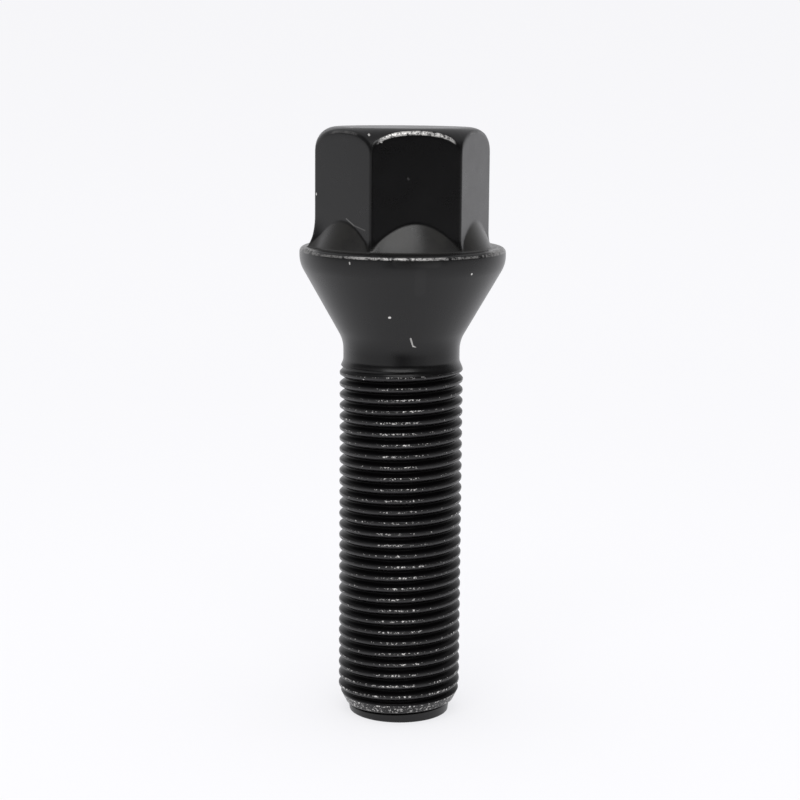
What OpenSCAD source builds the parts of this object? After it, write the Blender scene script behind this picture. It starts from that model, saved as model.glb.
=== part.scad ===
// Wheel bolt: hexagon head, round flange, conical seat, plain neck and a fine rolled
// thread with a short pilot at its tip. It is forged and rolled in one piece.
// The bolt stands on its tip: the origin is the middle of the tip face, +Z runs up
// the axis to the head, and one flat of the hexagon faces -Y.

/* [Thread] */
// Major diameter of the thread, a little under the nominal 14 mm
thread_d = 13.9; // [13.7:0.05:14.2]
// Pitch, which also sets the depth and the flats of the thread form
pitch = 1.25; // [1:0.25:1.5]
// Height above the tip where the thread still has its full depth
thread_top = 39.5; // [20:0.5:40]
// Length over which the thread fades into the neck
runout = 1.4; // [0.8:0.1:2]
// Direction from the axis in which the groove starts at the tip
thread_start_angle = 151; // [0:1:360]

/* [Tip] */
// Diameter of the flat end face
tip_d = 11.4; // [9:0.1:11.5]
// Diameter of the pilot at its upper end
pilot_d = 11.6; // [11.4:0.1:12]
// Height of the pilot
pilot_h = 1.1; // [0.5:0.1:2]
// Diameter at the foot of the lead chamfer, just above the pilot
lead_d = 12.3; // [11.7:0.1:12.8]
// Height of the lead chamfer
lead_h = 1.7; // [1:0.1:3]

/* [Neck and seat] */
// Diameter of the plain neck, which is the blank that the thread was rolled on
neck_d = 13.1; // [12.9:0.05:13.4]
// Height above the tip where the line of the cone meets the neck
seat_start = 43; // [42.5:0.5:50]
// Full angle of the conical seat
seat_angle = 60; // [50:1:75]
// Radius of the hollow between neck and cone
seat_fillet_r = 3.7; // [0.5:0.1:5]

/* [Flange] */
// Diameter of the flange
flange_d = 23.15; // [22.5:0.05:26]
// Height of the flange from the line of the cone to its upper face
flange_h = 2; // [1.6:0.1:4]
// Radius of the edge between cone and flange
flange_edge_r = 3.5; // [0.5:0.1:4]
// Radius of the upper edge of the flange
flange_rim_r = 0.6; // [0.2:0.1:0.8]

/* [Hexagon head] */
// Width of the hexagon across its flats
hex_af = 17; // [15:0.5:18]
// Height of the hexagon above the flange
hex_h = 13.05; // [9:0.05:18]
// Radius of the hexagon's upright edges
hex_edge_r = 0.4; // [0.2:0.1:1]
// Radius of the rounded shoulder at the top of the head
crown_r = 2.5; // [2:0.1:3.5]
// Diameter of the flat top of the head
crown_flat_d = 14.6; // [13:0.1:15.4]

/* [Web under the hexagon] */
// Height above the flange where the web meets the middle of each flat
web_h = 2.9; // [1.5:0.1:4]
// Slope of the web's side against the axis
web_angle = 25; // [10:1:30]
// Radius of the hollow between web and flange
web_fillet_r = 0.9; // [0.3:0.1:1.5]

/* [Hidden] */
$fn = 96;

// Steps in one rounded corner of an outline, and in one turn of the thread
corner_steps = 8;
turn_steps = 24;

// Form of a 60 degree thread: flats at crest and root, and depth, as parts of the pitch
flank_angle = 30;
crest_share = 1 / 5;
root_share = 1 / 10;
groove_depth = pitch * (1 - crest_share - root_share) / 2 / tan(flank_angle);
root_flat = pitch * root_share;
// How far the groove's tool stands out past the crest, and past the neck at its end
overcut = pitch * 0.08;

thread_r = thread_d / 2;
root_r = thread_r - groove_depth;
neck_r = neck_d / 2;
flange_r = flange_d / 2;
hex_r = hex_af / 2;

neck_bottom = thread_top + runout;
cone_top = seat_start + (flange_r - neck_r) / tan(seat_angle / 2);
flange_top = cone_top + flange_h;
head_top = flange_top + hex_h;
web_foot_r = hex_r + web_h * tan(web_angle);
// How far the web's cone and the hexagon's lower end reach into the head
web_sink = 1;
hex_sink = flange_h / 2;

// Corners of the turned form from the tip up, each with the radius that rounds it
body_corners = [
    [[0, 0], 0],
    [[tip_d / 2, 0], 0],
    [[pilot_d / 2, pilot_h], 0],
    [[lead_d / 2, pilot_h], 0],
    [[thread_r, pilot_h + lead_h], 0],
    [[thread_r, thread_top], 0],
    [[neck_r, neck_bottom], 0],
    [[neck_r, seat_start], seat_fillet_r],
    [[flange_r, cone_top], flange_edge_r],
    [[flange_r, flange_top], flange_rim_r],
    [[web_foot_r, flange_top], web_fillet_r],
    [[hex_r - web_sink, flange_top + web_h + web_sink / tan(web_angle)], 0],
    [[0, flange_top + web_h + web_sink / tan(web_angle)], 0]
];

// Corners of the round envelope that trims the top of the hexagon
crown_corners = [
    [[0, 0], 0],
    [[crown_flat_d / 2 + crown_r, 0], 0],
    [[crown_flat_d / 2 + crown_r, head_top], crown_r],
    [[0, head_top], 0]
];

function unit(v) = v / norm(v);

// Points of the arc that rounds one corner between its two neighbours
function rounded(before, corner, after, r) =
    let (
        u = unit(before - corner),
        w = unit(after - corner),
        half = acos(u * w) / 2,
        centre = corner + unit(u + w) * r / sin(half),
        start = corner + u * r / tan(half) - centre,
        end = corner + w * r / tan(half) - centre,
        start_angle = atan2(start.y, start.x),
        sweep = (atan2(end.y, end.x) - start_angle + 540) % 360 - 180
    )
    [for (i = [0:corner_steps])
        let (a = start_angle + sweep * i / corner_steps)
        centre + r * [cos(a), sin(a)]];

// Outline through a list of corners, with every radius worked in
function outline(corners) =
    [for (i = [0:len(corners) - 1])
        let (
            c = corners[i],
            before = corners[(i + len(corners) - 1) % len(corners)][0],
            after = corners[(i + 1) % len(corners)][0]
        )
        each (c[1] > 0 ? rounded(before, c[0], after, c[1]) : [c[0]])];

// Radius of the groove's bottom at a height: level, then rising clear of the neck
function groove_bottom_r(z) =
    root_r + (neck_r + overcut - root_r) * max(0, z - thread_top) / runout;

// Section of the groove's tool at one step of the helix
function groove_section(step) =
    let (
        a = thread_start_angle + 360 * step / turn_steps,
        z = pitch * step / turn_steps,
        inner = groove_bottom_r(z),
        outer = thread_r + overcut,
        low = root_flat / 2,
        high = low + (outer - inner) * tan(flank_angle)
    )
    [for (p = [[inner, -low], [outer, -high], [outer, high], [inner, low]])
        [p.x * cos(a), p.x * sin(a), z + p.y]];

// The helical groove, one closed solid that is cut from the blank
module thread_groove() {
    steps = ceil(neck_bottom / pitch * turn_steps);
    sections = [for (i = [0:steps]) groove_section(i)];
    sides = [for (i = [0:steps - 1]) for (k = [0:3])
        let (a = 4 * i + k, b = 4 * i + (k + 1) % 4)
        each [[a, b, a + 4], [b, b + 4, a + 4]]];
    start_cap = [3, 2, 1, 0];
    end_cap = [for (k = [0:3]) 4 * steps + k];
    polyhedron([for (s = sections) each s], concat(sides, [start_cap, end_cap]));
}

// Pilot, thread blank, neck, seat, flange and web, as turned
module turned_body() {
    rotate_extrude() polygon(outline(body_corners));
}

// Section of the hexagon with rounded edges
module hex_section() {
    edge_at = (hex_r - hex_edge_r) / cos(30);
    polygon([for (k = [0:5]) for (side = [-30, 30])
        edge_at * [cos(60 * k), sin(60 * k)]
            + hex_edge_r * [cos(60 * k + side), sin(60 * k + side)]]);
    for (k = [0:5])
        rotate(60 * k) translate([edge_at, 0]) circle(r = hex_edge_r);
}

// Hexagon trimmed by the rounded crown
module hex_head() {
    intersection() {
        translate([0, 0, flange_top - hex_sink])
            linear_extrude(hex_h + hex_sink) hex_section();
        rotate_extrude() polygon(outline(crown_corners));
    }
}

module wheel_bolt() {
    color([0.13, 0.13, 0.135])
    difference() {
        union() {
            turned_body();
            hex_head();
        }
        thread_groove();
    }
}

wheel_bolt();
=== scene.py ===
"""Looks of a wheel bolt: one forged and rolled piece in a satin black finish.

The bolt stands on its tip on a pale sheet, as its solid model does. Sizes are in
millimetres inside the classes and become metres when a mesh is made.
"""
import logging
import math
from dataclasses import dataclass, field
from enum import Enum
from typing import Callable, NamedTuple, Sequence

import bmesh
import bpy
from mathutils import Matrix, Vector


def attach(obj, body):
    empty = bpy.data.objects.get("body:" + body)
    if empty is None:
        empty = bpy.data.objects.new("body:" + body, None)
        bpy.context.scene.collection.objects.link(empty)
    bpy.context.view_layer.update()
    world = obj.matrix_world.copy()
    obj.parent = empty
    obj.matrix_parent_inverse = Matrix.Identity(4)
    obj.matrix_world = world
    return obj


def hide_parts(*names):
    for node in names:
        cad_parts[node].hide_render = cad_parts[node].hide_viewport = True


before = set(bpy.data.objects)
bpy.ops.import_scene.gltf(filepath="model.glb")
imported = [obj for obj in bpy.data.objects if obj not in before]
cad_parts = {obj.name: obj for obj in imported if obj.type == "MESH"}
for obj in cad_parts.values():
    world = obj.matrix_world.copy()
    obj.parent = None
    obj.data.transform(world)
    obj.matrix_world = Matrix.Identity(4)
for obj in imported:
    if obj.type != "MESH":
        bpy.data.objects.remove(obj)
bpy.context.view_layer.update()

LOG = logging.getLogger("wheel_bolt")
MM = 0.001
BODY = "root"
NODE = "wheel_bolt"
SLOT = "black_steel"

# Heading from the bolt to the viewer, in degrees about Z, its unit vector and the one across it
VIEW_HEADING = 260.4
VIEW_ANGLE = math.radians(VIEW_HEADING)
TO_VIEWER = Vector((math.cos(VIEW_ANGLE), math.sin(VIEW_ANGLE), 0.0))
ACROSS = Vector((-TO_VIEWER.y, TO_VIEWER.x, 0.0))

Socket = bpy.types.NodeSocket
BMesh = bmesh.types.BMesh
Ring = list[tuple[float, bmesh.types.BMVert]]
Colour = tuple[float, float, float, float]
Pair = tuple[float, float]


class Mark(Enum):
    """Names of the point attributes that the finish reads."""

    CREST = "thread_crest"
    GROOVE_SHADE = "thread_groove"
    EDGE = "edge_wear"
    WEB = "web_grain"


class Station(NamedTuple):
    """One point of a side profile: radius, height and how much wear and web grain it shows."""

    r: float
    z: float
    wear: float = 0.0
    web: float = 0.0


def smoothstep(low: float, high: float, value: float) -> float:
    """Return how far a value has come from low to high, from 0 to 1 and eased at both ends."""
    t = min(1.0, max(0.0, (value - low) / (high - low)))
    return t * t * (3.0 - 2.0 * t)


def blend(a: float, b: float, share: float) -> float:
    """Return the mix of two values, with b's share from 0 to 1."""
    return a + (b - a) * share


def soft_max(a: float, b: float, width: float) -> float:
    """Return the larger of two values, rounded where they differ by less than the width."""
    return max(a, b) + max(width - abs(a - b), 0.0) ** 2 / (4.0 * width)


class Graph:
    """Short hand for wiring math and mapping nodes in one node tree."""

    def __init__(self, tree: bpy.types.NodeTree) -> None:
        """Keep the shader or geometry node tree that the nodes go into."""
        self.tree = tree

    def node(self, kind: str, **settings: object) -> bpy.types.Node:
        """Add one node.

        Args:
            kind: Blender's type name of the node.
            **settings: Properties to set on the node.

        Returns:
            The new node.
        """
        made = self.tree.nodes.new(kind)
        for name, value in settings.items():
            setattr(made, name, value)
        return made

    def feed(self, socket: Socket, value: object) -> None:
        """Link or set one input.

        Args:
            socket: Input socket to feed.
            value: Another node's output socket, or a plain value.
        """
        if isinstance(value, Socket):
            self.tree.links.new(value, socket)
        elif value is not None:
            socket.default_value = value

    def then(self, last: bpy.types.Node, kind: str, inputs: dict[str, object],
             **settings: object) -> bpy.types.Node:
        """Add a node that takes its geometry from another.

        Args:
            last: The node before it.
            kind: Blender's type name of the node.
            inputs: Values or sockets of its other inputs, by name.
            **settings: Properties to set on the node.

        Returns:
            The new node.
        """
        made = self.node(kind, **settings)
        self.feed(made.inputs[0], last.outputs[0])
        for name, value in inputs.items():
            self.feed(made.inputs[name], value)
        return made

    def math(self, operation: str, *values: object, clamp: bool = False) -> Socket:
        """Add a Math node.

        Args:
            operation: The node's operation.
            *values: Inputs in order, sockets or numbers.
            clamp: Whether the result is held between 0 and 1.

        Returns:
            The node's output.
        """
        made = self.node("ShaderNodeMath", operation=operation, use_clamp=clamp)
        for socket, value in zip(made.inputs, values):
            self.feed(socket, value)
        return made.outputs[0]

    def times(self, a: object, b: object) -> Socket:
        """Return the product of two values."""
        return self.math("MULTIPLY", a, b)

    def minus(self, a: object, b: object) -> Socket:
        """Return the first value less the second."""
        return self.math("SUBTRACT", a, b)

    def dot(self, a: object, b: Sequence[float]) -> Socket:
        """Return the dot product of a vector socket and a fixed vector."""
        return self.vector("DOT_PRODUCT", a, tuple(b), out=1)

    def vector(self, operation: str, *values: object, out: int = 0) -> Socket:
        """Add a Vector Math node.

        Args:
            operation: The node's operation.
            *values: Inputs in order. A last value for SCALE goes to the Scale input.
            out: Index of the output to return, 1 for a plain number.

        Returns:
            The chosen output.
        """
        made = self.node("ShaderNodeVectorMath", operation=operation)
        if operation == "SCALE":
            self.feed(made.inputs[0], values[0])
            self.feed(made.inputs["Scale"], values[1])
        else:
            for socket, value in zip(made.inputs, values):
                self.feed(socket, value)
        return made.outputs[out]

    def ramp(self, value: object, low: float, high: float, start: float = 0.0, end: float = 1.0,
             smooth: bool = True) -> Socket:
        """Add a Map Range node that is held at both ends.

        Args:
            value: Socket or number to map.
            low: Value mapped to start.
            high: Value mapped to end.
            start: Result at low.
            end: Result at high.
            smooth: Whether the ramp eases in and out.

        Returns:
            The mapped value.
        """
        made = self.node("ShaderNodeMapRange", clamp=True,
                         interpolation_type="SMOOTHSTEP" if smooth else "LINEAR")
        for socket, item in zip(made.inputs[:5], (value, low, high, start, end)):
            self.feed(socket, item)
        return made.outputs[0]

    def lerp(self, share: object, a: object, b: object) -> Socket:
        """Return a value between a and b, with b's share from 0 to 1."""
        return self.math("MULTIPLY_ADD", share, self.minus(b, a), a)

    def tint(self, share: object, a: object, b: object) -> Socket:
        """Mix two colours.

        Args:
            share: Share of the second colour, from 0 to 1.
            a: First colour, a socket or four numbers.
            b: Second colour, a socket or four numbers.

        Returns:
            The mixed colour.
        """
        made = self.node("ShaderNodeMix", data_type="RGBA", clamp_factor=True)
        self.feed(made.inputs[0], share)
        self.feed(made.inputs[6], a)
        self.feed(made.inputs[7], b)
        return made.outputs[2]

    def noise(self, where: Socket, scale: float, detail: float = 2.0,
              seed: float = 0.0, rough: float = 0.5) -> Socket:
        """Add a four-dimensional Noise node with a fixed seed.

        Args:
            where: Position, in millimetres.
            scale: Cells per millimetre.
            detail: Number of finer octaves.
            seed: Fixed fourth coordinate.
            rough: Weight of the finer octaves.

        Returns:
            The noise value, about 0.5 on average.
        """
        made = self.node("ShaderNodeTexNoise", noise_dimensions="4D")
        for name, value in (("Vector", where), ("W", seed), ("Scale", scale), ("Detail", detail),
                            ("Roughness", rough)):
            self.feed(made.inputs[name], value)
        return made.outputs[0]


class Winding(NamedTuple):
    """The wound grid's fields: place in the section, share of the groove, height and angle."""

    grid: bpy.types.Node
    place: Socket
    groove: Socket
    z: Socket
    angle: Socket


def new_graph(owner: bpy.types.Material | bpy.types.World) -> Graph:
    """Give a material or the world an empty node tree, and return its graph."""
    owner.use_nodes = True
    owner.node_tree.nodes.clear()
    return Graph(owner.node_tree)


def new_object(name: str, data: bpy.types.ID) -> bpy.types.Object:
    """Return a new object with some data, linked to the scene."""
    made = bpy.data.objects.new(name, data)
    bpy.context.scene.collection.objects.link(made)
    return made


@dataclass
class ThreadedShank:
    """Pilot, fine right-hand thread, run-out and the lower neck, swept by Geometry Nodes."""

    pitch: float = 1.25
    crest_r: float = 6.965
    depth: float = 0.61
    groove_heading: float = 180.0
    neck_r: float = 6.55
    top_z: float = 41.6
    columns: int = 120

    # Tip and pilot, and the undercut above them, which leans a little across the view
    tip_r: float = 5.6
    tip_edge_z: float = 0.12
    pilot_foot_r: float = 5.68
    pilot_foot_z: float = 0.05
    pilot_r: float = 5.82
    pilot_top_z: float = 1.1
    undercut_z: float = 1.08
    undercut_tilt: float = 0.2
    undercut_depth: float = 0.26

    # Lead chamfer, on which the groove deepens, and run-out, on which it fades into the neck
    lead_r: float = 6.22
    lead_z: float = 1.3
    lead_slope: float = 0.5
    deepen: Pair = (1.3, 2.9)
    deepen_from: float = 0.45
    fade_start: float = 39.2
    fade_end: float = 40.9

    # Uneven crests
    crest_noise: float = 0.12
    noise_r: float = 6.9
    noise_scale: float = 1.6
    noise_level: float = 0.56
    seed: int = 7

    # Pair of the marks for the finish, as shares of the pitch from the groove's middle. The
    # groove's mark lowers the gloss there as painted shade
    pale_lower_side: Pair = (0.14, 0.22)
    crest_start: Pair = (0.36, 0.5)
    crest_end: Pair = (0.61, 0.57)
    groove_shade_start: Pair = (0.55, 0.6)
    groove_shade_end: Pair = (0.2, 0.14)
    ring_wear: float = 0.78

    # Tooth and groove, from the groove's middle up: share of the pitch, share of the depth
    section: tuple[Pair, ...] = (
        (0.0, 1.0), (0.03, 0.959), (0.06, 0.893), (0.1, 0.779), (0.15, 0.607),
        (0.2, 0.434), (0.25, 0.261), (0.29, 0.144), (0.33, 0.075), (0.37, 0.039),
        (0.42, 0.013), (0.47, 0.002), (0.525, 0.0), (0.55, 0.004), (0.57, 0.035),
        (0.6, 0.09), (0.64, 0.175), (0.71, 0.33), (0.79, 0.545), (0.89, 0.85),
    )

    def inputs(self) -> dict[str, float]:
        """Return the named inputs of the tree with their values."""
        return {
            "Pitch": self.pitch, "Crest Radius": self.crest_r, "Groove Depth": self.depth,
            "Neck Radius": self.neck_r, "Pilot Radius": self.pilot_r, "Lead Radius": self.lead_r,
            "Top Height": self.top_z, "Crest Noise": self.crest_noise, "Seed": float(self.seed),
        }

    def curve(self, g: Graph, value: Socket, heights: Sequence[float]) -> Socket:
        """Add a Float Curve node through one height for each row of a turn.

        Args:
            g: Graph of the tree.
            value: Share of the turn, from 0 to 1.
            heights: Heights of the curve's points, evenly placed from 0 to 1.

        Returns:
            The curve's output.
        """
        made = g.node("ShaderNodeFloatCurve")
        points = made.mapping.curves[0].points
        while len(points) < len(heights):
            points.new(0.5, 0.5)
        for i, height in enumerate(heights):
            points[i].location = (i / (len(heights) - 1), height)
            points[i].handle_type = "VECTOR"
        made.mapping.update()
        g.feed(made.inputs["Value"], value)
        return made.outputs[0]

    def wind(self, g: Graph, given: bpy.types.NodeOutputs) -> Winding:
        """Wind a sheared grid up the axis.

        The grid's rows climb by one pitch per turn, and each row of a turn is one point of the
        thread's section. Rows beyond either end fold onto the end rings.

        Args:
            g: Graph of the tree.
            given: The tree's named inputs.

        Returns:
            The grid and its fields.
        """
        start = self.groove_heading / 360.0
        count = len(self.section)
        rows = count * math.ceil(self.top_z / self.pitch + 1.0 + start) + 2
        grid = g.node("GeometryNodeMeshGrid")
        for name, value in (("Size X", self.columns), ("Size Y", rows - 1),
                            ("Vertices X", self.columns + 1), ("Vertices Y", rows)):
            grid.inputs[name].default_value = value
        at = g.node("ShaderNodeSeparateXYZ")
        g.feed(at.inputs[0], g.node("GeometryNodeInputPosition").outputs[0])
        turn = g.math("DIVIDE", g.math("ADD", at.outputs[0], self.columns / 2.0), self.columns)
        row = g.math("ROUND", g.math("ADD", at.outputs[1], (rows - 1) / 2.0))
        turns = g.math("FLOOR", g.math("DIVIDE", g.math("ADD", row, 0.5), count))
        step = g.math("DIVIDE", g.minus(row, g.times(turns, count)), count)
        place = self.curve(g, step, [point[0] for point in self.section] + [1.0])
        groove = self.curve(g, step, [point[1] for point in self.section] + [self.section[0][1]])
        climb = g.minus(g.math("ADD", g.math("ADD", turns, place), turn), 1.0 + start)
        z = g.math("MAXIMUM", g.times(climb, given["Pitch"]), 0.0)
        z = g.math("MINIMUM", z, given["Top Height"])
        return Winding(grid, place, groove, z, g.times(turn, math.tau))

    def turned(self, g: Graph, given: bpy.types.NodeOutputs, z: Socket, above: Socket) -> Socket:
        """Return the radius of the blank: pilot, undercut, lead chamfer, thread and neck.

        Args:
            g: Graph of the tree.
            given: The tree's named inputs.
            z: Height above the tip.
            above: Height above the undercut's middle.

        Returns:
            The blank's radius.
        """
        pilot = g.math("MINIMUM",
                       g.ramp(z, 0.0, self.tip_edge_z, self.tip_r, given["Pilot Radius"]),
                       g.ramp(z, self.pilot_foot_z, self.pilot_top_z, self.pilot_foot_r,
                              given["Pilot Radius"], smooth=False))
        pilot = g.minus(pilot, g.ramp(above, -0.16, -0.02, 0.0, self.undercut_depth))
        lead = g.math("MULTIPLY_ADD", g.minus(z, self.lead_z), self.lead_slope,
                      given["Lead Radius"])
        runout = g.lerp(g.ramp(z, self.fade_start + 0.4, self.fade_end + 0.1),
                        given["Crest Radius"], given["Neck Radius"])
        return g.math("MINIMUM", g.lerp(g.ramp(above, 0.03, 0.16), pilot, lead), runout)

    def marks(self, g: Graph, wound: Winding, above: Socket, full: Socket) -> dict[Mark, Socket]:
        """Return the marks of the tooth's lower side and crest, and of the groove, whose gloss the
        finish lowers as painted shade.

        Args:
            g: Graph of the tree.
            wound: The wound grid's fields.
            above: Height above the undercut's middle.
            full: Share of the groove's depth left by the run-out.

        Returns:
            One field for each mark: 0 to 0.5 up the lower side, then to 1 on the crest.
        """
        place, z = wound.place, wound.z
        crest = g.math("MULTIPLY_ADD", g.ramp(place, *self.crest_start), 0.5,
                       g.ramp(place, *self.pale_lower_side, 0.0, 0.5))
        crest = g.times(crest, g.ramp(place, *self.crest_end))
        ring = g.times(g.ramp(above, 0.12, 0.25), g.ramp(above, 1.1, 0.8, 0.0, self.ring_wear))
        crest = g.math("MAXIMUM", g.times(crest, g.ramp(z, 1.2, 1.5)), ring)
        crest = g.times(crest, g.ramp(z, self.fade_start + 0.6, self.fade_end, 1.0, 0.0))
        # Groove mark: where the finish paints shade by lowering its gloss
        hollow = g.math("MAXIMUM", g.ramp(place, *self.groove_shade_start),
                        g.ramp(place, *self.groove_shade_end))
        hollow = g.times(hollow, g.times(full, g.ramp(z, 1.9, 2.6)))
        return {Mark.CREST: crest, Mark.GROOVE_SHADE: hollow}

    def tree(self) -> bpy.types.NodeTree:
        """Build the node tree of the shank, from the wound grid to the dressed tube.

        Returns:
            The Geometry Nodes tree.
        """
        tree = bpy.data.node_groups.new("threaded_shank", "GeometryNodeTree")
        face = tree.interface
        face.new_socket("Geometry", in_out="INPUT", socket_type="NodeSocketGeometry")
        for name in self.inputs():
            face.new_socket(name, in_out="INPUT", socket_type="NodeSocketFloat")
        face.new_socket("Finish", in_out="INPUT", socket_type="NodeSocketMaterial")
        face.new_socket("Geometry", in_out="OUTPUT", socket_type="NodeSocketGeometry")
        g = Graph(tree)
        given = g.node("NodeGroupInput").outputs
        wound = self.wind(g, given)
        z, angle = wound.z, wound.angle

        full = g.ramp(z, self.fade_start, self.fade_end, 1.0, 0.0)
        cut = g.times(g.times(wound.groove, given["Groove Depth"]),
                      g.times(g.ramp(z, *self.deepen, self.deepen_from, 1.0), full))
        threaded = g.minus(given["Crest Radius"], cut)
        side = g.math("SINE", g.minus(angle, VIEW_ANGLE))
        line_z = g.math("MULTIPLY_ADD", side, self.undercut_tilt, self.undercut_z)
        above = g.minus(z, line_z)
        radius = g.math("MINIMUM", self.turned(g, given, z, above), threaded)
        marks = self.marks(g, wound, above, full)

        outward = g.node("ShaderNodeCombineXYZ")
        g.feed(outward.inputs[0], g.math("COSINE", angle))
        g.feed(outward.inputs[1], g.math("SINE", angle))
        lift = g.node("ShaderNodeCombineXYZ")
        g.feed(lift.inputs[2], z)
        spot = g.vector("ADD", g.vector("SCALE", outward.outputs[0], self.noise_r), lift.outputs[0])
        bumps = g.noise(spot, self.noise_scale, 3.0, rough=0.6)
        g.feed(bumps.node.inputs["W"], given["Seed"])
        worn = g.math("MINIMUM", g.minus(bumps, self.noise_level), 0.0)
        worn = g.times(g.times(worn, given["Crest Noise"]), marks[Mark.CREST])
        flat = g.vector("SCALE", outward.outputs[0], g.math("ADD", radius, worn))
        point = g.vector("SCALE", g.vector("ADD", flat, lift.outputs[0]), MM)

        # The marks are stored before the grid is moved, because they read its own places
        last = wound.grid
        for mark, value in marks.items():
            last = g.then(last, "GeometryNodeStoreNamedAttribute",
                          {"Name": mark.value, "Value": value}, data_type="FLOAT", domain="POINT")
        last = g.then(last, "GeometryNodeSetPosition", {"Position": point})
        last = g.then(last, "GeometryNodeMergeByDistance", {"Distance": 1e-7})
        last = g.then(last, "GeometryNodeRealizeInstances", {})
        last = g.then(last, "GeometryNodeSetMaterial", {"Material": given["Finish"]})
        g.feed(g.node("NodeGroupOutput").inputs[0], last.outputs[0])
        return tree

    def build(self, finish: bpy.types.Material) -> BMesh:
        """Evaluate the tree and return the shank as an open tube.

        Args:
            finish: Material for the whole shank.

        Returns:
            The tube, open at the tip and at the neck.
        """
        tree = self.tree()
        holder = new_object("shank_holder", bpy.data.meshes.new("shank_holder"))
        modifier = holder.modifiers.new("thread", "NODES")
        modifier.node_group = tree
        values = {**self.inputs(), "Finish": finish}
        for item in tree.interface.items_tree:
            if item.in_out == "INPUT" and item.name in values:
                modifier[item.identifier] = values[item.name]
        graph = bpy.context.evaluated_depsgraph_get()
        plain = bpy.data.meshes.new_from_object(holder.evaluated_get(graph))
        tube = bmesh.new()
        tube.from_mesh(plain)
        holder.modifiers.remove(modifier)
        bpy.data.objects.remove(holder)
        bpy.data.meshes.remove(plain)
        return tube


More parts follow.
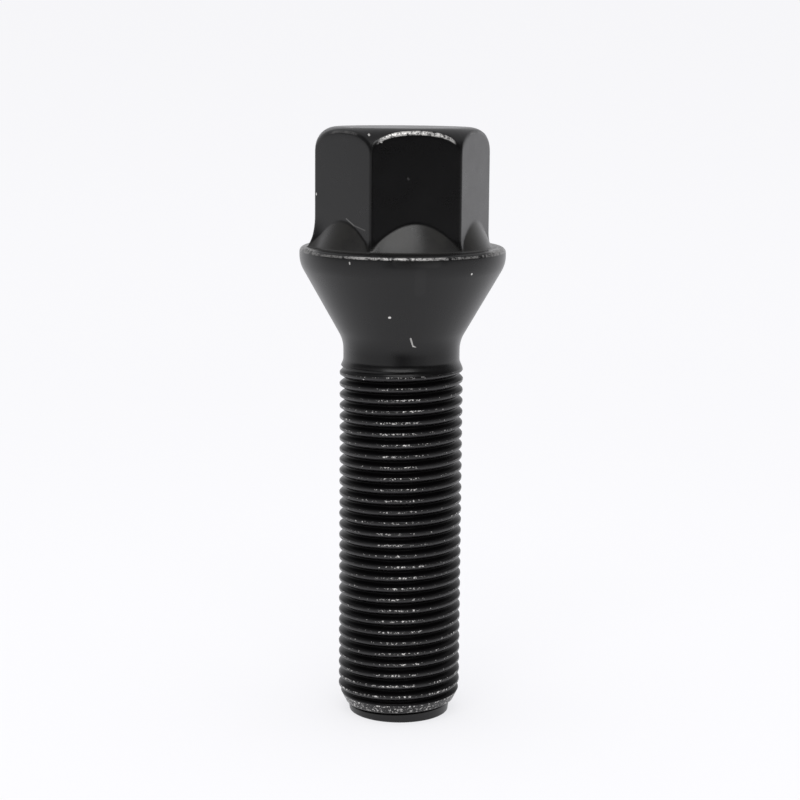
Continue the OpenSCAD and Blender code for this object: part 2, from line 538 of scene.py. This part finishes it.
@dataclass
class HexHead:
    """Upper neck, conical seat, flange, web and hexagon with a rounded crown."""

    # Neck and conical seat
    neck_r: float = 6.55
    neck_z: float = 41.8
    seat_z: float = 43.0
    seat_slope: float = 30.0
    seat_fillet: float = 3.7

    # Flange, a little off the bolt's axis and with an upper face that leans, and its rim's wear
    flange_r: float = 11.525
    flange_shift: float = 0.045
    flange_z: float = 53.56
    flange_lean: float = 0.1
    flange_edge: float = 3.5
    flange_edge_z: float = 52.6415
    rim: float = 0.6
    rim_line: Pair = (0.41, 0.54)
    rim_sides: float = 0.45

    # Web between flange and hexagon, and the width over which it blends into the flats
    web_r: float = 8.57
    web_z: float = 56.6
    web_slope: float = 25.0
    web_fillet: float = 0.35
    crease_width: float = 0.1
    corner_width: float = 0.5

    # Hexagon, with one upright edge that flares out at its foot
    apothem: float = 8.55
    upright_edge: float = 0.35
    upright_wear: float = 0.15
    wear_from: Pair = (54.2, 55.4)
    flare_heading: float = 180.0
    flare: float = 0.2
    flare_z: float = 57.0
    flare_fall: float = 1.9
    flare_spread: float = 6.0
    plain_columns: int = 19

    # Crown, and its worn lower edge as pairs of share passed and share of the wear
    crown_r: float = 2.5
    crown_centre_r: float = 7.3
    top_z: float = 66.7535
    edge_fall: float = 0.42
    edge_reach: float = 0.3
    edge_line: tuple[Pair, ...] = (
        (0.0, 0.1), (0.25, 0.95), (0.5, 1.0), (0.75, 0.9), (1.0, 0.15),
    )
    front_flat: float = 270.0
    other_flats: float = 0.35

    def headings(self) -> list[float]:
        """Lay out the columns: close at each hexagon corner, even between.

        Returns:
            The columns' headings in degrees, in order.
        """
        close = (-2.6, -1.78, -1.2, -0.6, 0.0, 0.6, 1.2, 1.78, 2.6)
        step = (60.0 - close[-1] + close[0]) / (self.plain_columns + 1)
        sector = [*close, *(close[-1] + step * (i + 1) for i in range(self.plain_columns))]
        return sorted((60.0 * k + a) % 360.0 for k in range(6) for a in sector)

    def corner_gap(self, heading: float) -> float:
        """Return the distance in degrees from a heading to the nearest hexagon corner."""
        return abs((heading + 30.0) % 60.0 - 30.0)

    def hex_radius(self, heading: float) -> float:
        """Return the hexagon's radius at a heading, with its upright edges rounded.

        Args:
            heading: Direction from the axis, in degrees.

        Returns:
            The radius in millimetres.
        """
        half = math.radians(30.0)
        gap = math.radians(self.corner_gap(heading))
        reach = (self.apothem - self.upright_edge) / math.cos(half)
        foot = math.atan2(self.upright_edge / 2, reach + self.upright_edge * math.cos(half))
        if gap >= foot:
            return self.apothem / math.cos(half - gap)
        rest = self.upright_edge ** 2 - (reach * math.sin(gap)) ** 2
        return reach * math.cos(gap) + math.sqrt(rest)

    def web_radius(self, z: float) -> float:
        """Return the radius of the web's cone at a height."""
        return self.web_r + (self.web_z - z) * math.tan(math.radians(self.web_slope))

    def crease(self, heading: float) -> float:
        """Return the width over which flat and web blend, which is larger near a corner."""
        near = 1.0 - smoothstep(0.5, 4.0, self.corner_gap(heading))
        return blend(self.crease_width, self.corner_width, near)

    def side_radius(self, heading: float, z: float) -> float:
        """Return the radius of hexagon and web together.

        Args:
            heading: Direction from the axis, in degrees.
            z: Height above the tip.

        Returns:
            The radius in millimetres.
        """
        off = (heading - self.flare_heading + 180.0) % 360.0 - 180.0
        flare = self.flare * math.exp(-(off / self.flare_spread) ** 2)
        flare *= (max(self.flare_z - z, 0.0) / self.flare_fall) ** 2
        return flare + soft_max(self.hex_radius(heading), self.web_radius(z), self.crease(heading))

    def flange_top(self, heading: float) -> float:
        """Return the height of the flange's upper face at a heading."""
        lean = self.flange_lean * math.cos(math.radians(heading - VIEW_HEADING))
        return self.flange_z - lean

    def arc(self, centre: Pair, radius: float, start: float, end: float,
            steps: int, wear: Callable[[float], float] = lambda share: 0.0) -> list[Station]:
        """Return stations along an arc of the profile.

        Args:
            centre: Radius and height of the arc's centre.
            radius: Radius of the arc.
            start: First angle in degrees, 0 pointing outwards and 90 up.
            end: Last angle in degrees.
            steps: Number of steps along the arc.
            wear: Edge wear as a function of the share of the arc passed.

        Returns:
            The stations, ends included.
        """
        made = []
        for i in range(steps + 1):
            a = math.radians(blend(start, end, i / steps))
            made.append(Station(centre[0] + radius * math.cos(a),
                                centre[1] + radius * math.sin(a), wear(i / steps)))
        return made

    def lower_rows(self, heading: float) -> list[Station]:
        """Return the round part of one column.

        Args:
            heading: Direction of the column, in degrees.

        Returns:
            Stations from the neck to the flange's rim.
        """
        rows = [Station(self.neck_r, self.neck_z)]
        start_z = self.seat_z - self.seat_fillet * math.tan(math.radians(self.seat_slope / 2))
        rows += self.arc((self.neck_r + self.seat_fillet, start_z), self.seat_fillet, 180.0,
                         180.0 - self.seat_slope, 6)
        shift = self.flange_shift * math.sin(math.radians(heading - VIEW_HEADING))
        outer = self.flange_r + shift
        rows += self.arc((outer - self.flange_edge, self.flange_edge_z), self.flange_edge,
                         -self.seat_slope, 0.0, 8)
        rows += self.arc((outer - self.rim, self.flange_top(heading) - self.rim), self.rim,
                         0.0, 90.0, 8, lambda share: self.rim_wear(heading, share))
        return rows

    def rim_wear(self, heading: float, share: float) -> float:
        """Return how worn the flange's rim is: most before the viewer, and flatter at the sides.

        Args:
            heading: Direction of the column, in degrees.
            share: Share of the rim passed, from 0 outside to 1 on the flange's face.

        Returns:
            The wear, from 0 to 1.
        """
        off = math.radians(heading - VIEW_HEADING)
        line = smoothstep(0.0, 0.15, share) * (1.0 - smoothstep(0.35, 0.6, share))
        line *= blend(*self.rim_line, smoothstep(0.8, 0.95, math.cos(off)))
        flatter = self.rim_sides * smoothstep(0.35, 0.6, share)
        return line + flatter * smoothstep(0.65, 0.9, abs(math.sin(off)))

    def foot_rows(self, heading: float) -> list[Station]:
        """Return the hollow between the flange's face and the side of the web.

        Args:
            heading: Direction of the column, in degrees.

        Returns:
            Stations from the flange's face up to the side.
        """
        fillet, floor = self.web_fillet, self.flange_top(heading)
        slope, reach = math.radians(self.web_slope), 0.01
        z = floor
        for _ in range(6):
            z = floor + fillet * (1.0 - math.sin(slope))
            fall = self.side_radius(heading, z - reach) - self.side_radius(heading, z + reach)
            slope = math.atan2(fall, 2.0 * reach)
        centre = (self.side_radius(heading, z) + fillet * math.cos(slope), floor + fillet)
        return self.arc(centre, fillet, 270.0, 180.0 + math.degrees(slope), 6)

    def flat_wear(self, heading: float) -> float:
        """Return how worn the crown's edge is: most over the flat that faces the viewer."""
        off = abs((heading - self.front_flat + 180.0) % 360.0 - 180.0)
        return 1.0 if off < 29.0 else self.other_flats

    def corner_wear(self, heading: float) -> float:
        """Return how worn a column is where it runs up a corner of the hexagon."""
        return self.upright_wear * (1.0 - smoothstep(1.2, 2.6, self.corner_gap(heading)))

    def side_rows(self, heading: float) -> list[Station]:
        """Return the web and the lower part of the flat of one column.

        Args:
            heading: Direction of the column, in degrees.

        Returns:
            Stations from the web's foot to above its arch.
        """
        foot = self.foot_rows(heading)
        slope = math.tan(math.radians(self.web_slope))
        spread = self.crease(heading) / slope
        crease = self.web_z - (self.hex_radius(heading) - self.web_r) / slope
        low, high = max(foot[-1].z + 0.1, crease - spread), crease + spread
        heights = [blend(foot[-1].z, low, 0.5), low]
        heights += [blend(low, high, i / 9) for i in range(1, 10)]
        heights += [blend(high, self.flare_z + 0.4, i / 4) for i in range(1, 5)]
        rows = foot + [Station(self.side_radius(heading, z), z) for z in heights]
        wear = self.corner_wear(heading)
        return [Station(s.r, s.z, wear * smoothstep(*self.wear_from, s.z),
                        1.0 - smoothstep(crease - 0.25, crease + 0.05, s.z)) for s in rows]

    def crown_rows(self, heading: float) -> list[Station]:
        """Return the crown of one column and the worn edge below it.

        Args:
            heading: Direction of the column, in degrees.

        Returns:
            Stations from the upper part of the flat to the rim of the flat top.
        """
        r, gap = self.hex_radius(heading), self.corner_gap(heading)
        upright = self.corner_wear(heading)
        centre = (self.crown_centre_r, self.top_z - self.crown_r)
        begin = math.degrees(math.acos(min(0.999, (r - centre[0]) / self.crown_r)))
        turn = math.degrees(self.edge_reach / self.crown_r)
        low, high = self.arc(centre, self.crown_r, begin, begin + turn, 1)
        wear = self.flat_wear(heading) * smoothstep(1.0, 5.0, gap)
        wear *= blend(0.6, 1.0, smoothstep(5.0, 18.0, gap))
        rows = [Station(r, low.z - 2.0 * self.edge_fall, upright)]
        for t, share in self.edge_line:
            first, middle, last = (1.0 - t) ** 2, 2.0 * t * (1.0 - t), t * t
            z = first * (low.z - self.edge_fall) + middle * (low.z - 0.08) + last * high.z
            rows.append(Station((first + middle) * r + last * high.r, z,
                                max(upright * (1.0 - t), share * wear)))
        return rows + self.arc(centre, self.crown_r, begin + turn, 90.0, 9)[1:]

    def build(self, body: BMesh) -> Ring:
        """Add the head to a mesh and close its top.

        Args:
            body: Mesh that receives the head.

        Returns:
            Heading and vertex of the lowest ring, in order.
        """
        wear = body.verts.layers.float.get(Mark.EDGE.value)
        web = body.verts.layers.float.get(Mark.WEB.value)
        columns = []
        for heading in self.headings():
            lower, upper = self.lower_rows(heading), self.side_rows(heading)
            shelf = Station(blend(lower[-1].r, upper[0].r, 0.5), upper[0].z,
                            self.rim_wear(heading, 1.0))
            turn = Matrix.Rotation(math.radians(heading), 3, "Z")
            column = []
            for station in [*lower, shelf, *upper, *self.crown_rows(heading)]:
                vert = body.verts.new(turn @ Vector((station.r * MM, 0.0, station.z * MM)))
                vert[wear], vert[web] = station.wear, station.web
                column.append(vert)
            columns.append(column)
        for left, right in zip(columns, columns[1:] + columns[:1]):
            for i in range(len(left) - 1):
                body.faces.new((left[i], right[i], right[i + 1], left[i + 1]))
        close_disc(body, [column[-1] for column in columns], 0.94)
        return [(heading, column[0]) for heading, column in zip(self.headings(), columns)]


def close_disc(body: BMesh, ring: Sequence[bmesh.types.BMVert], inset: float) -> None:
    """Close a level ring with a narrow band and a fan to its middle.

    Args:
        body: Mesh that holds the ring.
        ring: Vertices in order round the axis.
        inset: Radius of the fan's rim as a share of the ring's.
    """
    inner = [body.verts.new((v.co.x * inset, v.co.y * inset, v.co.z)) for v in ring]
    middle = body.verts.new((0.0, 0.0, ring[0].co.z))
    count = len(ring)
    for i in range(count):
        j = (i + 1) % count
        body.faces.new((ring[i], ring[j], inner[j], inner[i]))
        body.faces.new((inner[i], inner[j], middle))


def open_ring(body: BMesh, z: float) -> Ring:
    """Find the open edge loop at a height.

    Args:
        body: Mesh to search.
        z: Height in millimetres.

    Returns:
        Heading in degrees and vertex, in order round the axis.
    """
    found = [v for v in body.verts if v.is_boundary and abs(v.co.z - z * MM) < 1e-6]
    ring = [(round(math.degrees(math.atan2(v.co.y, v.co.x)), 3) % 360.0, v) for v in found]
    return sorted(ring, key=lambda item: item[0])


def zip_rings(body: BMesh, lower: Ring, upper: Ring) -> None:
    """Join two rings of different counts with a band of triangles.

    Args:
        body: Mesh that holds both rings.
        lower: Heading and vertex of each point of the lower ring.
        upper: The same for the upper ring.
    """
    low = lower + [(lower[0][0] + 360.0, lower[0][1])]
    high = upper + [(upper[0][0] + 360.0, upper[0][1])]
    i = j = 0
    while i < len(low) - 1 or j < len(high) - 1:
        step_low = j == len(high) - 1 or (i < len(low) - 1 and low[i + 1][0] <= high[j + 1][0])
        if step_low:
            body.faces.new((low[i][1], low[i + 1][1], high[j][1]))
            i += 1
        else:
            body.faces.new((low[i][1], high[j + 1][1], high[j][1]))
            j += 1


@dataclass(frozen=True)
class Spot:
    """A small bare place in the finish: a short stroke between two points."""

    start: tuple[float, float, float]
    end: tuple[float, float, float]
    radius: float
    strength: float = 1.0


@dataclass(frozen=True)
class BlackFinish:
    """Satin black oxide: nearly black below its gloss, with bare steel where it is worn. Flecks of
    bare steel made denser towards the viewer are painted highlights, and the lowered gloss in the
    thread's grooves is painted shade.
    """

    name: str = SLOT
    coat: Colour = (0.0011, 0.0009, 0.0011, 1.0)
    dust: Colour = (0.05, 0.048, 0.04, 1.0)
    dust_share: float = 0.25
    steel: Colour = (0.78, 0.765, 0.74, 1.0)
    flank: Colour = (0.018, 0.017, 0.018, 1.0)
    metallic: float = 0.8
    roughness: float = 0.3
    uneven_roughness: float = 0.12
    worn_roughness: float = 0.38
    refraction: float = 1.5
    gloss: float = 0.5
    groove_shade_gloss: float = 0.12
    bump: float = 0.12
    bump_depth: float = 0.03
    bare_depth: float = 0.8
    spots: tuple[Spot, ...] = (
        Spot((-7.01, -4.94, 56.97), (-6.35, -6.09, 56.32), 0.09, 0.12),
        Spot((-6.35, -6.09, 56.32), (-5.38, -7.77, 55.91), 0.09, 0.07),
        Spot((-2.74, -8.13, 46.51), (-2.68, -8.15, 46.52), 0.17, 1.0),
        Spot((5.97, -9.58, 51.32), (5.98, -9.57, 51.29), 0.14, 0.9),
        Spot((-7.21, -8.95, 52.6), (-7.19, -8.97, 52.44), 0.1, 0.6),
        Spot((-9.71, -0.29, 59.43), (-9.7, -0.29, 59.32), 0.12, 0.8),
        Spot((-0.21, -7.16, 44.08), (0.12, -6.66, 43.2), 0.12, 0.5),
        Spot((0.14, -6.67, 43.2), (0.44, -6.58, 43.09), 0.14, 0.9),
        Spot((-5.01, -4.3, 40.29), (-4.97, -4.34, 40.26), 0.12, 0.9),
        Spot((-5.07, -4.74, 39.24), (-5.03, -4.79, 39.25), 0.12, 0.9),
        Spot((4.14, -5.14, 40.15), (4.19, -5.09, 40.14), 0.12, 0.9),
        Spot((-4.99, -7.45, 66.11), (-4.95, -7.61, 66.0), 0.13, 0.8),
        Spot((-3.83, -8.55, 65.33), (-3.77, -8.55, 65.3), 0.12, 0.7),
        Spot((-6.42, -4.13, 66.73), (-6.28, -4.29, 66.73), 0.12, 0.6),
        Spot((0.08, -11.5, 51.56), (0.21, -10.3, 49.51), 0.8, 0.004),
        Spot((-2.36, -11.25, 52.83), (1.71, -11.37, 52.81), 0.8, 0.01),
        Spot((-0.89, -8.55, 61.48), (-0.83, -8.54, 61.38), 0.15, 0.03),
    )

    def material(self) -> bpy.types.Material:
        """Build the procedural material.

        Returns:
            The material, ready to assign.
        """
        made = bpy.data.materials.new(self.name)
        g = new_graph(made)
        shader = g.node("ShaderNodeBsdfPrincipled")
        output = g.node("ShaderNodeOutputMaterial")
        g.feed(output.inputs["Surface"], shader.outputs[0])
        where = g.vector("SCALE", g.node("ShaderNodeTexCoord").outputs["Object"], 1.0 / MM)
        marks = {mark: g.node("ShaderNodeAttribute", attribute_name=mark.value).outputs["Fac"]
                 for mark in Mark}
        patches = g.noise(where, 0.35, 3.0, 3.0)
        grain = g.noise(where, 5.0, 4.0, 11.0, 0.6)
        bare = self.bare(g, where, patches, marks)

        crest = marks[Mark.CREST]
        dust = g.times(marks[Mark.WEB], g.ramp(patches, 0.3, 0.7, 0.4, 1.0))
        colour = g.tint(g.times(dust, self.dust_share), self.coat, self.dust)
        # The lower side of each tooth is tinted towards the lighter flank colour
        pale_lower_side = g.times(g.ramp(crest, 0.0, 0.5), g.ramp(crest, 0.5, 0.75, 1.0, 0.1))
        colour = g.tint(bare, g.tint(pale_lower_side, colour, self.flank), self.steel)
        g.feed(shader.inputs["Base Color"], colour)
        g.feed(shader.inputs["Metallic"], g.times(bare, self.metallic))
        rough = self.roughness
        for noise in (grain, patches):
            rough = g.math("MULTIPLY_ADD", g.minus(noise, 0.5), self.uneven_roughness, rough)
        g.feed(shader.inputs["Roughness"], g.lerp(bare, rough, self.worn_roughness))
        shader.inputs["IOR"].default_value = self.refraction
        # Gloss lowered over the groove mark: painted shade in the thread's hollows
        gloss = g.lerp(marks[Mark.GROOVE_SHADE], self.gloss, self.groove_shade_gloss)
        g.feed(shader.inputs["Specular IOR Level"], gloss)

        bump = g.node("ShaderNodeBump")
        bump.inputs["Strength"].default_value = self.bump
        bump.inputs["Distance"].default_value = self.bump_depth * MM
        worn_in = g.times(bare, self.bare_depth)
        g.feed(bump.inputs["Height"], g.minus(grain, worn_in))
        g.feed(shader.inputs["Normal"], bump.outputs[0])
        return made

    def bare(self, g: Graph, where: Socket, patches: Socket, marks: dict[Mark, Socket]) -> Socket:
        """Return where the steel is bare: flecks on crests, worn edges and single spots. The flecks
        are wear, and where made denser towards the viewer, painted highlights.

        Args:
            g: Graph of the material.
            where: Position in millimetres.
            patches: Wide noise that makes the flecks denser in places.
            marks: The point attributes.

        Returns:
            1 on bare steel and 0 on the coat.
        """
        specks = g.noise(where, 4.6, 3.0, 21.0, 0.65)
        chips = g.noise(where, 1.3, 4.0, 5.0, 0.65)
        height = g.dot(where, (0.0, 0.0, 1.0))
        before = g.times(g.dot(where, TO_VIEWER), 1.0 / 6.95)
        # Flecks denser near the tip are wear; denser on the side facing the viewer, they stand in
        # for glints of the key light: painted highlights
        wear_and_glint_density = g.math("MAXIMUM", g.ramp(height, 7.0, 2.4, 0.0, 0.7),
                       g.ramp(before, 0.88, 0.99, 0.0, 0.62))
        wear_and_glint_density = g.math("MULTIPLY_ADD", g.ramp(patches, 0.4, 0.6), 0.35, wear_and_glint_density)
        over = g.minus(specks, g.lerp(wear_and_glint_density, 0.64, 0.53))
        on_crest = g.times(g.ramp(marks[Mark.CREST], 0.6, 0.9), g.ramp(over, 0.0, 0.05))
        on_edge = g.times(g.ramp(marks[Mark.EDGE], 0.25, 0.8), g.ramp(chips, 0.38, 0.5))
        on_edge = g.times(on_edge, g.ramp(specks, 0.38, 0.54, 0.12, 1.0))
        bare = g.math("MAXIMUM", on_crest, on_edge)
        for spot in self.spots:
            bare = g.math("MAXIMUM", bare, self.spot_mask(g, where, spot))
        return bare

    def spot_mask(self, g: Graph, where: Socket, spot: Spot) -> Socket:
        """Return the mask of one short stroke in the finish.

        Args:
            g: Graph of the material.
            where: Position in millimetres.
            spot: The stroke to draw.

        Returns:
            1 inside the stroke and 0 outside it.
        """
        start, end = Vector(spot.start), Vector(spot.end)
        run = end - start
        length2 = max(run.length_squared, 1e-6)
        from_start = g.vector("SUBTRACT", where, tuple(start))
        passed = g.dot(from_start, run)
        along = g.math("MULTIPLY", passed, 1.0 / length2, clamp=True)
        foot = g.vector("SCALE", tuple(run), along)
        gap = g.vector("LENGTH", g.vector("SUBTRACT", from_start, foot), out=1)
        return g.ramp(gap, spot.radius, 0.5 * spot.radius, 0.0, spot.strength)


@dataclass
class WheelBolt:
    """The whole bolt as one closed mesh."""

    shank: ThreadedShank = field(default_factory=ThreadedShank)
    head: HexHead = field(default_factory=HexHead)
    finish: BlackFinish = field(default_factory=BlackFinish)

    def build(self) -> bpy.types.Object:
        """Make the bolt, join shank and head, and dress it.

        Returns:
            The finished object, at the origin.
        """
        material = self.finish.material()
        body = self.shank.build(material)
        body.verts.layers.float.new(Mark.EDGE.value)
        body.verts.layers.float.new(Mark.WEB.value)
        tip = open_ring(body, 0.0)
        neck = open_ring(body, self.shank.top_z)
        close_disc(body, [vert for _, vert in tip], 0.9)
        zip_rings(body, neck, self.head.build(body))
        bmesh.ops.recalc_face_normals(body, faces=body.faces)
        for face in body.faces:
            face.smooth = True
            face.material_index = 0
        mesh = bpy.data.meshes.new("wheel_bolt_dressed")
        body.to_mesh(mesh)
        open_edges = sum(1 for edge in body.edges if not edge.is_manifold)
        body.free()
        mesh.materials.clear()
        mesh.materials.append(material)
        piece = new_object("wheel_bolt_dressed", mesh)
        LOG.info("wheel bolt: %d vertices, %d faces, %d open edges", len(mesh.vertices),
                 len(mesh.polygons), open_edges)
        return piece

    def dress(self, piece: bpy.types.Object) -> None:
        """Bind the finished object to the solid that it stands for.

        Args:
            piece: The bolt's object.
        """
        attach(piece, BODY)
        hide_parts(NODE)


@dataclass
class Studio:
    """Pale sheet, white surround with a dim side behind the camera, soft light and the camera."""

    # Brightness of the surround and the sheet, and the tint of the air
    white: float = 0.975
    white_above: float = 0.945
    white_below: float = 0.99
    white_rise: Pair = (-0.13, 0.06)
    air: Colour = (0.978, 0.976, 1.0, 1.0)

    # Sheet: its colour where the shadow falls, and its brightness in reflections
    sheet_r: float = 0.31
    sheet_colour: Colour = (0.92, 0.92, 0.9246, 1.0)
    sheet_gloss: float = 0.75
    sheet_gloss_back: float = 1.0
    shadow_share: float = 0.3
    shadow_reach: Pair = (0.01, 0.2)

    # Surround in reflections: dim behind the camera, a low wall beside the bolt, open above
    dim: float = 0.022
    dim_foot: Pair = (-0.13, -0.085)
    dim_middle: Pair = (0.03, 0.3)
    dim_outside: Pair = (0.4, 0.56)
    dim_inside: Pair = (0.16, 0.36)
    dim_top: Pair = (0.65, 0.4)
    flank: float = 0.75
    flank_turn: Pair = (-0.75, -0.15)
    wall: float = 0.1
    wall_back: float = 0.42
    wall_turn: Pair = (-0.7, 0.0)
    wall_low: Pair = (0.05, -0.04)
    wall_high: Pair = (0.45, 0.05)
    above: float = 0.5
    above_rise: Pair = (0.45, 0.68)

    # Camera and soft light
    lens: float = 86.1525
    sensor: float = 36.0
    camera_place: tuple[float, float, float] = (-0.035757, -0.210687, 0.071500)
    camera_pitch: float = 9.3972
    camera_roll: float = 0.4578
    key_radiance: float = 3.3
    key_size: Pair = (0.5, 0.16)
    key_heading: float = -5.0
    key_height: float = 44.0
    key_distance: float = 0.55
    key_target: float = 0.055

    def camera(self) -> None:
        """Place the camera where the photograph was taken."""
        pitch = math.radians(self.camera_pitch)
        ahead = -TO_VIEWER * math.cos(pitch) - Vector((0.0, 0.0, math.sin(pitch)))
        right = ahead.cross(Vector((0.0, 0.0, 1.0))).normalized()
        up = right.cross(ahead)
        axes = Matrix((right, up, -ahead)).transposed()
        turn = axes @ Matrix.Rotation(math.radians(self.camera_roll), 3, "Z")
        data = bpy.data.cameras.new("camera")
        data.lens, data.sensor_width = self.lens, self.sensor
        data.clip_start, data.clip_end = 0.01, 20.0
        view = new_object("camera", data)
        view.matrix_world = Matrix.Translation(self.camera_place) @ turn.to_4x4()
        bpy.context.scene.camera = view

    def reflected(self, g: Graph, way: Socket, rise: Socket) -> Socket:
        """Return the brightness of the surround in reflections.

        Args:
            g: Graph of the surround.
            way: Direction of the ray.
            rise: Upward part of that direction.

        Returns:
            The brightness, least on the dim side behind the camera.
        """
        level = g.vector("NORMALIZE", g.vector("MULTIPLY", way, (1.0, 1.0, 0.0)))
        facing = g.dot(level, TO_VIEWER)
        across = g.dot(level, ACROSS)
        middle = g.ramp(rise, *self.dim_foot, *self.dim_middle)
        off = g.math("ABSOLUTE", g.minus(across, middle))
        side = g.ramp(off, g.ramp(rise, *self.dim_foot, *self.dim_outside),
                      g.ramp(rise, *self.dim_foot, *self.dim_inside))
        side = g.times(side, g.ramp(facing, 0.0, 0.3))
        shade = g.times(side, g.ramp(rise, *self.dim_top))
        flank = g.ramp(facing, *self.flank_turn, 1.0, self.flank)
        wall = g.ramp(rise, g.ramp(facing, *self.wall_turn, *self.wall_low),
                      g.ramp(facing, *self.wall_turn, *self.wall_high))
        wall_light = g.ramp(facing, *self.wall_turn, self.wall_back, self.wall)
        above = g.lerp(g.ramp(rise, *self.above_rise), wall_light, self.above)
        return g.lerp(shade, g.lerp(wall, flank, above), self.dim)

    def world(self) -> None:
        """Surround the bolt with white, dimmed behind the camera for reflections only."""
        world = bpy.data.worlds.new("surround")
        g = new_graph(world)
        ray = g.node("ShaderNodeLightPath").outputs
        way = g.node("ShaderNodeTexCoord").outputs["Generated"]
        parts = g.node("ShaderNodeSeparateXYZ")
        g.feed(parts.inputs[0], way)
        rise = parts.outputs[2]
        strength = g.lerp(ray["Is Glossy Ray"], 1.0, self.reflected(g, way, rise))
        plain = g.ramp(rise, *self.white_rise, self.white, self.white_above)
        back = g.node("ShaderNodeBackground")
        back.inputs["Color"].default_value = self.air
        g.feed(back.inputs["Strength"], g.lerp(ray["Is Camera Ray"], strength, plain))
        g.feed(g.node("ShaderNodeOutputWorld").inputs[0], back.outputs[0])
        bpy.context.scene.world = world

    def paper(self) -> bpy.types.Material:
        """Build the sheet's material: glowing white, with a soft shadow at the bolt's foot and a
        patch of painted shade before it that only reflections see.

        Returns:
            The material, ready to assign.
        """
        made = bpy.data.materials.new("sheet")
        g = new_graph(made)
        ray = g.node("ShaderNodeLightPath").outputs
        where = g.node("ShaderNodeTexCoord").outputs["Object"]
        away = g.vector("LENGTH", where, out=1)
        towards = g.dot(where, TO_VIEWER)
        across = g.math("ABSOLUTE", g.dot(where, ACROSS))
        matt = g.node("ShaderNodeBsdfDiffuse")
        matt.inputs["Color"].default_value = self.sheet_colour
        plain = g.node("ShaderNodeEmission")
        plain.inputs["Color"].default_value = self.air
        bright = g.ramp(away, 0.0, self.sheet_r, self.white_below, self.white)
        gloss = g.ramp(towards, -0.12, 0.05, self.sheet_gloss_back, self.sheet_gloss)
        # Darker patch on the sheet before the bolt, seen only in reflections: painted shade
        painted_shade = g.times(g.ramp(across, 0.11, 0.02), g.ramp(towards, 0.1, 0.22))
        gloss = g.lerp(painted_shade, gloss, self.dim)
        g.feed(plain.inputs["Strength"], g.lerp(ray["Is Glossy Ray"], bright, gloss))
        shadowed = g.ramp(away, *self.shadow_reach, self.shadow_share, 0.0)
        seen = g.math("MAXIMUM", ray["Is Camera Ray"], ray["Is Glossy Ray"])
        seen = g.math("MAXIMUM", seen, ray["Is Transmission Ray"])
        share = g.lerp(seen, 0.0, g.minus(1.0, shadowed))
        mixed = g.node("ShaderNodeMixShader")
        for socket, value in zip(mixed.inputs, (share, matt.outputs[0], plain.outputs[0])):
            g.feed(socket, value)
        g.feed(g.node("ShaderNodeOutputMaterial").inputs[0], mixed.outputs[0])
        return made

    def sheet(self) -> None:
        """Lay the pale round sheet, which fades into the white surround."""
        form = bmesh.new()
        bmesh.ops.create_circle(form, cap_ends=True, segments=128, radius=self.sheet_r)
        mesh = bpy.data.meshes.new("sheet")
        form.to_mesh(mesh)
        form.free()
        mesh.materials.append(self.paper())
        sheet = new_object("sheet", mesh)

    def key(self) -> None:
        """Hang the soft light above and before the bolt."""
        heading = math.radians(VIEW_HEADING + self.key_heading)
        height = math.radians(self.key_height)
        flat = math.cos(height)
        way = Vector((math.cos(heading) * flat, math.sin(heading) * flat, math.sin(height)))
        data = bpy.data.lights.new("key", "AREA")
        data.shape = "RECTANGLE"
        data.size, data.size_y = self.key_size
        data.energy = self.key_radiance * math.pi * self.key_size[0] * self.key_size[1]
        lamp = new_object("key", data)
        lamp.location = Vector((0.0, 0.0, self.key_target)) + way * self.key_distance
        lamp.rotation_euler = way.to_track_quat("Z", "Y").to_euler()

    def build(self) -> None:
        """Make sheet, surround, light and camera, and leave the view settings plain."""
        bpy.context.scene.view_settings.view_transform = "Standard"
        self.camera()
        self.world()
        self.sheet()
        self.key()


def main() -> None:
    """Build the bolt and its studio."""
    logging.basicConfig(level=logging.INFO, format="%(name)s: %(message)s")
    bolt = WheelBolt()
    piece = bolt.build()
    bolt.dress(piece)
    LOG.info("dressed the %s node in %s", NODE, SLOT)
    Studio().build()
    LOG.info("studio is set")
    bpy.context.view_layer.update()


if __name__ == "__main__":
    main()
